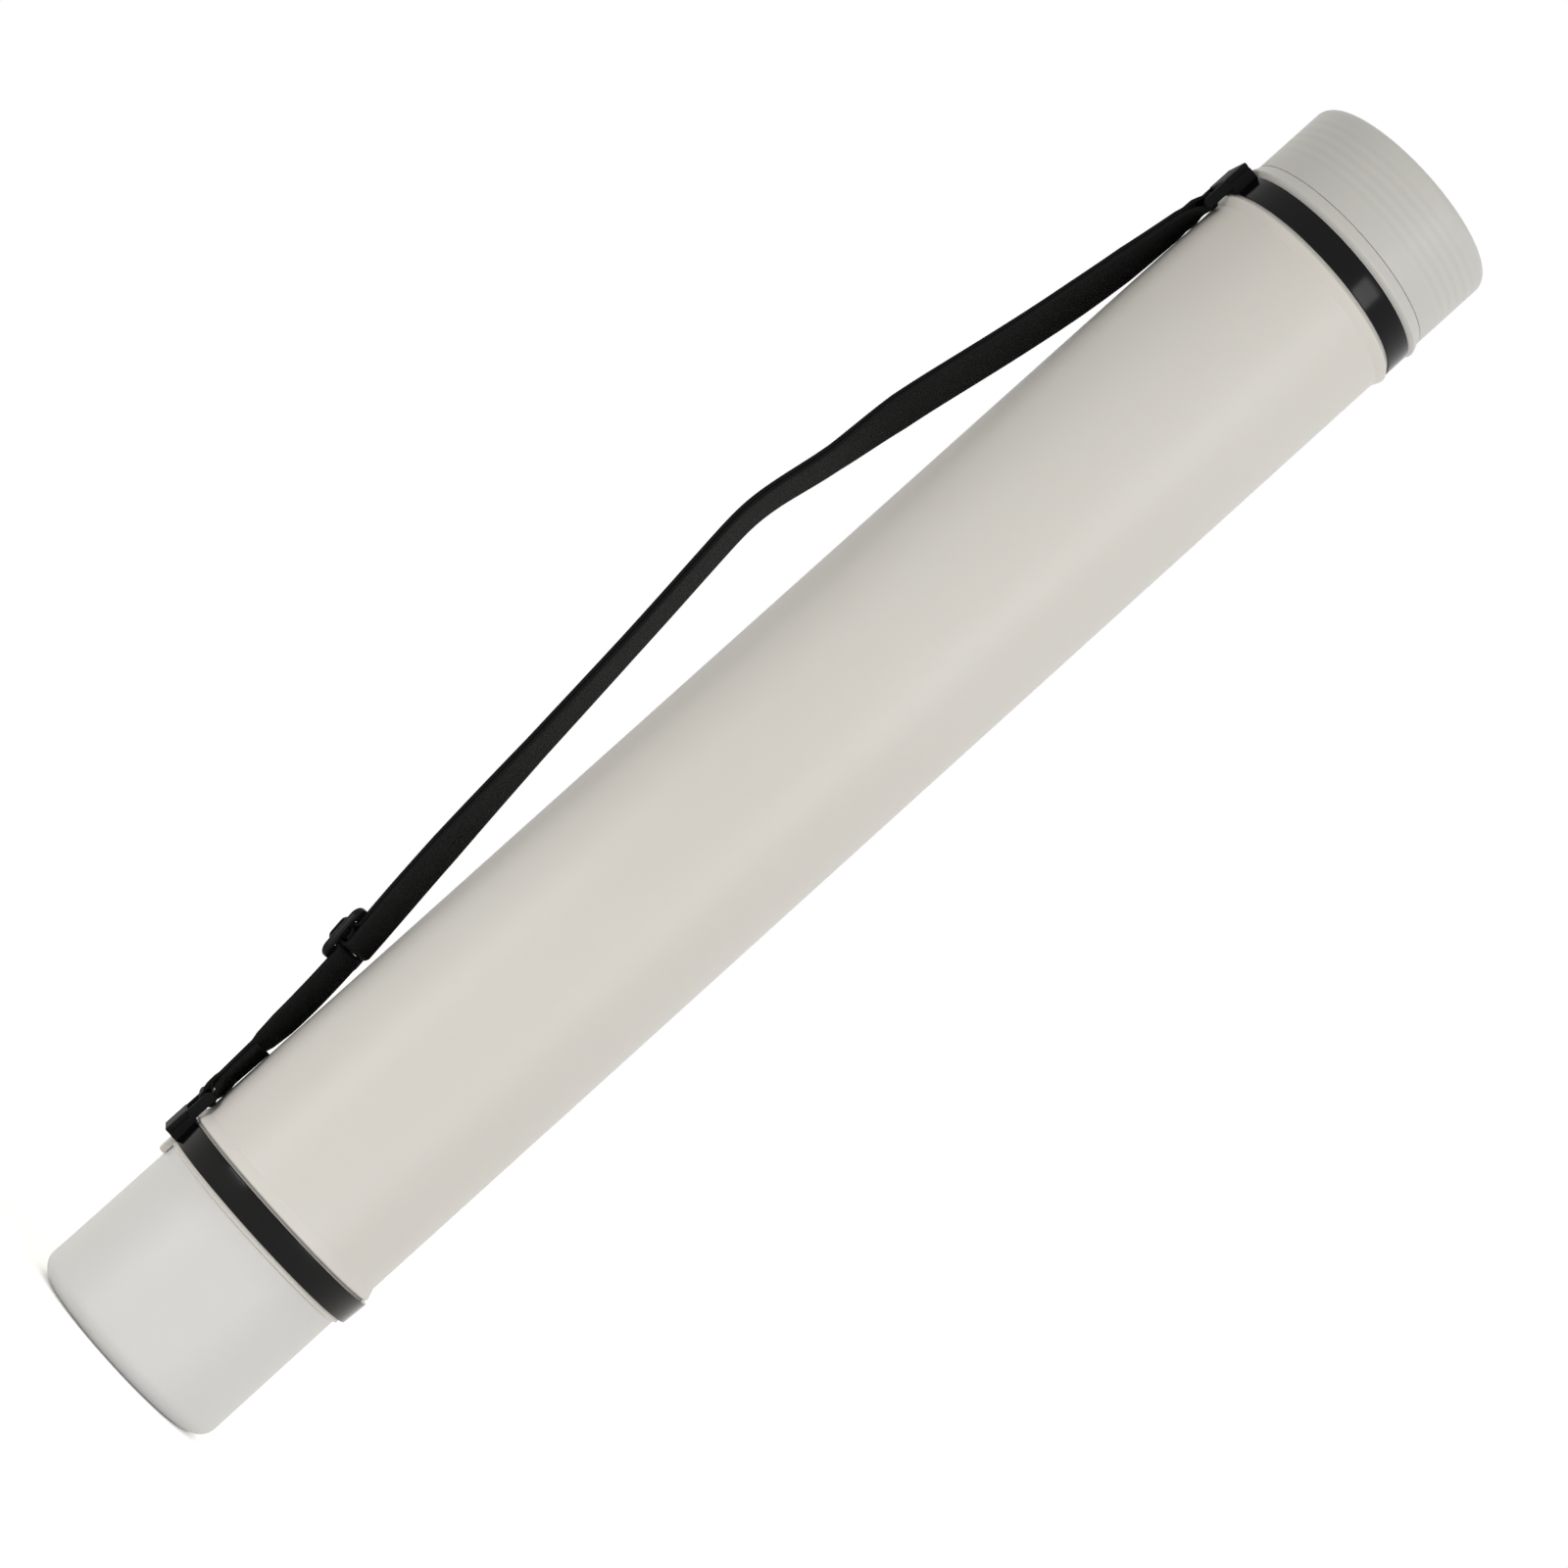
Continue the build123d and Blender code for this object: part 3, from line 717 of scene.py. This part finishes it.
SLIDER_LENGTH = 0.0226
SLIDER_THICKNESS = 0.0028
SLIDER_CENTRE_BAR = 0.0046     # width
LINE_POINTS = 4001
LINE_STEP = 0.0004             # on either side of a point, for the line's direction there
ARC_STEP = 0.1                 # radians from point to point round a bend
STRAIGHT = 1e-6                # a corner cut by less than this is no bend
# Share of the way from bar to bar, and how far out from the straight line between them.
STRAP_BOW = (
    (0.0, 0.0), (0.03, 0.0004), (0.08, 0.0008), (0.13, 0.0026), (0.2, 0.0070), (0.33, 0.0142),
    (0.5, 0.0228), (0.555, 0.0259), (0.585, 0.0269), (0.61, 0.0259), (0.65, 0.0225),
    (0.71, 0.0191), (0.78, 0.0135), (0.85, 0.0077), (0.91, 0.0038), (0.96, 0.0014), (1.0, 0.0),
)
# Share of the way, and lean in degrees: below zero, the edge that faces +Y is nearer the tube.
STRAP_LEAN = (
    (0.0, 0.0), (0.002, -6.0), (0.006, -11.5), (0.014, -17.0), (0.051, -21.0), (0.057, -26.0),
    (0.075, -31.5), (0.1, -33.0), (0.2, -34.0), (0.25, -33.0), (0.35, -25.0), (0.45, -22.5),
    (0.61, -22.5), (0.66, -25.0), (0.72, -36.5), (0.88, -36.5), (0.925, -33.5), (0.95, -28.0),
    (0.975, -23.0), (0.991, -15.0), (0.997, -6.0), (1.0, 0.0),
)
# Off the strap's centre line: either layer, the webbing round an eye's bar, and the slider.
layer = (WEB_THICKNESS + LAYER_GAP) / 2
loop = BAR_RADIUS + WEB_GAP + WEB_THICKNESS / 2
slider_plane = layer + WEB_THICKNESS / 2 + WEB_GAP + SLIDER_THICKNESS / 2


def cubic(at, value, want):
    """Cubic spline through (at, value) with no knot at the second and last but one points,
    found from its second derivatives m: in each span the curve is the straight line less
    (m0 a (h^2 - a^2) + m1 b (h^2 - b^2)) / 6h, with a and b the distances to the two ends."""
    count = len(at)
    h = np.diff(at)
    slope = np.diff(value) / h
    system = np.zeros((count, count))
    right_side = np.zeros(count)
    system[0, :3] = h[1], -h[0] - h[1], h[0]
    system[-1, -3:] = h[-1], -h[-2] - h[-1], h[-2]
    for row in range(1, count - 1):
        system[row, row - 1:row + 2] = h[row - 1], 2 * (h[row - 1] + h[row]), h[row]
        right_side[row] = 6 * (slope[row] - slope[row - 1])
    m = np.linalg.solve(system, right_side)
    span = np.clip(np.searchsorted(at, want) - 1, 0, count - 2)
    width = h[span]
    a, b = at[span + 1] - want, want - at[span]
    line = (value[span] * a + value[span + 1] * b) / width
    bend = m[span] * a * (width**2 - a**2) + m[span + 1] * b * (width**2 - b**2)
    return line - bend / (6 * width)


bow = np.array(STRAP_BOW)
line_z = np.linspace(BAR_LOW, BAR_HIGH, LINE_POINTS)
line_x = -BAR_X - cubic(bow[:, 0], bow[:, 1], np.linspace(0, 1, LINE_POINTS))
line_length = np.concatenate([[0], np.cumsum(np.hypot(np.diff(line_x), np.diff(line_z)))])
strap_length = line_length[-1]


def strap_frame(along):
    """Points, directions, width directions and outward normals of the strap's centre line
    at each length. Past its ends the line runs on straight."""

    def spot(length):
        """x and z of the line, held at its ends."""
        return np.array([np.interp(length, line_length, line) for line in (line_x, line_z)])

    held = np.clip(along, 0, strap_length)
    x, z = spot(held)
    dx, dz = spot(held + LINE_STEP) - spot(held - LINE_STEP)
    size = np.hypot(dx, dz)
    ahead = np.stack([dx / size, 0 * dx, dz / size], -1)
    point = np.stack([x, 0 * x, z], -1) + ahead * (along - held)[:, None]
    out = np.stack([-ahead[:, 2], 0 * dx, ahead[:, 0]], -1)
    share, degrees = np.array(STRAP_LEAN).T
    lean = np.radians(np.interp(held / strap_length, share, degrees))[:, None]
    side = np.array([0.0, 1.0, 0.0])
    across = side * np.cos(lean) + out * np.sin(lean)
    normal = out * np.cos(lean) - side * np.sin(lean)
    return point, ahead, across, normal


def webbing_path():
    """Corners of the webbing's way as (along, offset): the sewn loop at the lower bar, up
    through the slider over its middle bar, round the upper bar and back to the slider."""
    end, mid = strap_length, SLIDER_AT
    under = slider_plane - SLIDER_THICKNESS / 2 - WEB_GAP - WEB_THICKNESS / 2
    over = slider_plane + SLIDER_THICKNESS / 2 + WEB_GAP + WEB_THICKNESS / 2
    top = over + WEB_THICKNESS + WEB_GAP
    post = SLIDER_CENTRE_BAR / 2 + WEB_GAP + WEB_THICKNESS / 2
    riser = post + WEB_THICKNESS + WEB_GAP
    return np.array([
        (SEWN_TAIL, -layer), (TAPER, -layer), (0, -loop), (-loop, -loop), (-loop, loop),
        (0, loop), (TAPER, layer), (mid - riser, under), (mid - riser, top),
        (mid + riser, top), (mid + riser, under), (mid + SLIDER_LENGTH, layer),
        (end - TAPER, layer), (end, loop), (end + loop, loop), (end + loop, -loop),
        (end, -loop), (end - TAPER, -layer), (mid - post, -layer), (mid - post, over),
        (mid + post, over), (mid + post, under), (mid - post / 3, under),
    ])


def eased_path(corners, radius, step):
    """The way with its corners as arcs, as evenly spaced points (along, offset, heading).
    Where two corners are close, their arcs share the run between."""
    runs = np.diff(corners, axis=0)
    lengths = np.hypot(runs[:, 0], runs[:, 1])
    headings = np.arctan2(runs[:, 1], runs[:, 0])
    turns = (np.diff(headings) + 3 * pi) % (2 * pi) - pi
    cuts = np.concatenate([[0], radius * np.tan(np.abs(turns) / 2), [0]])
    points, ways = [corners[0]], [headings[0]]
    for index, swing in enumerate(turns, start=1):
        share = [
            lengths[k] / max(lengths[k], cuts[k] + cuts[k + 1]) for k in (index - 1, index)
        ]
        cut = cuts[index] * min(share)
        if cut < STRAIGHT:
            continue
        way = headings[index - 1]
        start = corners[index] - cut * np.array([np.cos(way), np.sin(way)])
        arc = cut / np.tan(swing / 2)
        centre = start + arc * np.array([-np.sin(way), np.cos(way)])
        for part in np.linspace(0, 1, max(2, int(abs(swing) / ARC_STEP) + 1)):
            at = way + swing * part
            points.append(centre + arc * np.array([np.sin(at), -np.cos(at)]))
            ways.append(at)
    points.append(corners[-1])
    ways.append(headings[-1])
    points, ways = np.array(points), np.unwrap(ways)
    travel = np.concatenate([[0], np.cumsum(np.hypot(*np.diff(points, axis=0).T))])
    even = np.linspace(0, travel[-1], int(travel[-1] / step) + 1)
    return [np.interp(even, travel, line) for line in (points[:, 0], points[:, 1], ways, travel)]


def webbing():
    """Grid of the webbing's surface and its UV: a flat section with rounded selvedges,
    carried along the way. Every other section is narrower by the weft's turn at the edge."""
    along, offset, way, travel = eased_path(webbing_path(), BEND_RADIUS, TOOTH)
    point, ahead, across, normal = strap_frame(along)
    centre = point + normal * offset[:, None]
    depth = normal * np.cos(way)[:, None] - ahead * np.sin(way)[:, None]
    half, thick = WEB_WIDTH / 2, WEB_THICKNESS / 2
    edge = thick * SELVEDGE
    swing = np.linspace(-pi / 2, pi / 2, 7)
    edge_wide = half - edge + edge * np.cos(swing)
    edge_high = thick * np.sin(swing)
    flat = np.linspace(half - edge, -half + edge, 12)[1:-1]
    wide = np.concatenate([edge_wide, flat, -edge_wide, -flat])
    high = np.concatenate([edge_high, 0 * flat + thick, edge_high[::-1], 0 * flat - thick])
    tooth = np.where(np.arange(len(along)) % 2, -TOOTH_DEPTH, 0)[:, None]
    reach = wide + np.sign(wide) * tooth * (np.abs(wide) > half - thick)
    grid = centre[:, None] + across[:, None] * reach[..., None] + depth[:, None] * high[:, None]
    u, face = np.append(wide, wide[0]), np.append(high, high[0])
    u = np.where(face < 0, u + UNDERSIDE, u)
    uv = np.stack(np.broadcast_arrays(u, travel[:, None]), -1)
    return with_ends(grid), np.concatenate([uv[:1], uv, uv[-1:]])


def webbing_weave_and_shade():
    """Black plain weave: warp ribs along the webbing, each rising and sinking half a weft
    out of step with its neighbours, with a little fluff. The hollows are painted darker, as
    shade."""
    material, tree, skin = new_finish("web_weave_shade", gloss_level=0.1, roughness=0.7)
    maths = partial(math_node, tree)
    split = tree.nodes.new("ShaderNodeSeparateXYZ")
    tree.links.new(tree.nodes.new("ShaderNodeUVMap").outputs[0], split.inputs[0])
    ribs = maths("DIVIDE", split.outputs["X"], WARP_PITCH)
    rib = maths("ABSOLUTE", maths("SINE", maths("MULTIPLY", ribs, pi)))
    odd = maths("MODULO", maths("ADD", maths("FLOOR", ribs), 100.0), 2.0)
    weft = maths("DIVIDE", split.outputs["Y"], WEFT_PITCH)
    weft = maths("ADD", weft, maths("MULTIPLY", odd, 0.5))
    weave = maths("SINE", maths("MULTIPLY", weft, 2 * pi))
    weave = maths("ADD", maths("MULTIPLY", weave, 0.5), 0.5)
    height = maths("MULTIPLY", rib, maths("ADD", maths("MULTIPLY", weave, 0.6), 0.4))
    fluff = noise(tree, 2500.0, 3.0)
    height = maths("ADD", height, maths("MULTIPLY", fluff, 0.35))
    # painted shade: the colour darkens into the weave's hollows, with the fluff's random tone on
    # top
    shade = two_tones(
        tree, height, (0.0016, 0.0016, 0.0017), (0.0095, 0.0095, 0.0098), 0.1, 0.9
    )
    tree.links.new(shade, skin.inputs["Base Color"])
    bump(tree, skin, height, 0.7, 0.00025)
    return material


web_grid, web_uv = webbing()
web_strap = grid_piece("woven_strap", web_grid, False, web_uv, sharp_angle=60)
web_strap.data.materials.append(webbing_weave_and_shade())
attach(web_strap, "sleeve")
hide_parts("carry_strap")

# Stitches: black thread in a box seam through the two layers of the sewn loop, seen on both
# faces.
STITCH_LENGTH = 0.0024
STITCH_PITCH = 0.0029
THREAD_RADIUS = 0.00028
SEAM = (0.0105, 0.0245, 0.0075)        # start and end along the strap, and half its width


def seam_stitches():
    """Each stitch is an ellipsoid half sunk in the webbing: long axis on the seam's run,
    centre on the webbing's face."""
    start, end, half = SEAM
    box = [(start, -half), (end, -half), (end, half), (start, half), (start, -half),
           (end, half), (end, -half), (start, half)]
    round_angle = np.linspace(0, 2 * pi, 9)[:-1, None]
    long_angle = np.linspace(0, pi, 7)[:, None, None]
    pieces = []
    for first, second in zip(box, box[1:]):
        first, second = np.array(first), np.array(second)
        length = np.linalg.norm(second - first)
        count = int(length / STITCH_PITCH)
        way = (second - first) / length
        for index in range(count):
            spot = first + way * (index + 0.5) * length / count
            point, ahead, across, normal = (v[0] for v in strap_frame(np.array([spot[0]])))
            run = ahead * way[0] + across * way[1]
            ring = np.cross(normal, run) * np.cos(round_angle) + normal * np.sin(round_angle)
            for offset in (layer + WEB_THICKNESS / 2, -layer - WEB_THICKNESS / 2):
                centre = point + across * spot[1] + normal * offset
                grid = (
                    centre
                    - run * np.cos(long_angle) * STITCH_LENGTH / 2
                    + ring * np.sin(long_angle) * THREAD_RADIUS
                )
                pieces.append(grid_piece("stitch", grid, False))
    return pieces


stitches = joined("strap_stitches", seam_stitches())
stitches.data.materials.append(black_plastic(
    "thread_finish", (0.012, 0.012, 0.0125), gloss_level=0.1, roughness=0.6, grain=0.4
))
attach(stitches, "sleeve")

# Slider: a black moulded frame with three bars and eased edges. The webbing's end is sewn
# round the middle bar, and the strap runs through both slots over it.
SLIDER_HALF_WIDTH = 0.0135
SLIDER_RAIL = 0.00285          # width at the sides
SLIDER_END_BAR = 0.0055        # width at the ends
SLIDER_CORNER = 0.0045
SLIDER_EASE = 0.0009
SLOT_CORNER = 0.0008
BAR_SUNK = 0.0008              # middle bar's ends, into the sides


def rounded_rectangle(half_width, half_length, corner):
    """Outline of a rectangle with rounded corners, as (across, along) points."""
    quarter = np.linspace(0, pi / 2, 9)
    arc = corner * np.stack([np.cos(quarter), np.sin(quarter)], -1)
    x, y = half_width - corner, half_length - corner
    return np.concatenate([
        arc + (x, y), arc[::-1] * (-1, 1) + (-x, y), arc * (-1, -1) + (-x, -y),
        arc[::-1] * (1, -1) + (x, -y),
    ])


def slider_frame():
    """Ring of the frame and its middle bar. Round the ring, the section is a flat bar with
    rounded edges, from the slots' outline to the frame's."""
    centre, ahead, across, normal = (v[0] for v in strap_frame(np.array([SLIDER_AT])))
    centre = centre + normal * slider_plane
    half_length = SLIDER_LENGTH / 2
    outer = rounded_rectangle(SLIDER_HALF_WIDTH, half_length, SLIDER_CORNER)
    inner = rounded_rectangle(
        SLIDER_HALF_WIDTH - SLIDER_RAIL, half_length - SLIDER_END_BAR, SLOT_CORNER
    )
    # Distance in from an edge of the section, and height, round one of its sides.
    swing = np.linspace(0, pi, 9)
    draw = SLIDER_EASE * (1 - np.sin(swing))[:, None]
    rise = SLIDER_EASE * np.cos(swing)
    rise = rise + np.sign(rise) * (SLIDER_THICKNESS / 2 - SLIDER_EASE)
    way = unit(outer - inner)[:, None]
    out_side = outer[:, None] - way * draw
    in_side = inner[:, None] + way * draw[::-1]
    flat = np.concatenate([out_side, in_side], axis=1)
    level = np.concatenate([rise, rise[::-1]])[:, None]
    grid = centre + flat[..., :1] * across + flat[..., 1:] * ahead + level * normal
    ring = grid_piece("slider_ring", grid, True)

    def on_slider(first, second, level):
        """Place in the middle bar, whose levels run across the strap."""
        return centre + first[:, None] * ahead + second[:, None] * normal + level * across

    bar_size = np.array([SLIDER_CENTRE_BAR, SLIDER_THICKNESS])
    bar = rounded([(-1, -1), (1, -1), (1, 1), (-1, 1)] * bar_size / 2, [SLIDER_EASE] * 4)
    reach = SLIDER_HALF_WIDTH - SLIDER_RAIL + BAR_SUNK
    middle_bar = slab("slider_bar", bar, -reach, reach, BAR_EASE, on_slider)
    return joined("slider_shell", [ring, middle_bar])


slider = slider_frame()
slider.data.materials.append(black_plastic(
    "slider_finish", (0.004, 0.004, 0.0044), gloss_level=0.1, roughness=0.3, grain=0.3
))
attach(slider, "sleeve")
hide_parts("strap_slider")
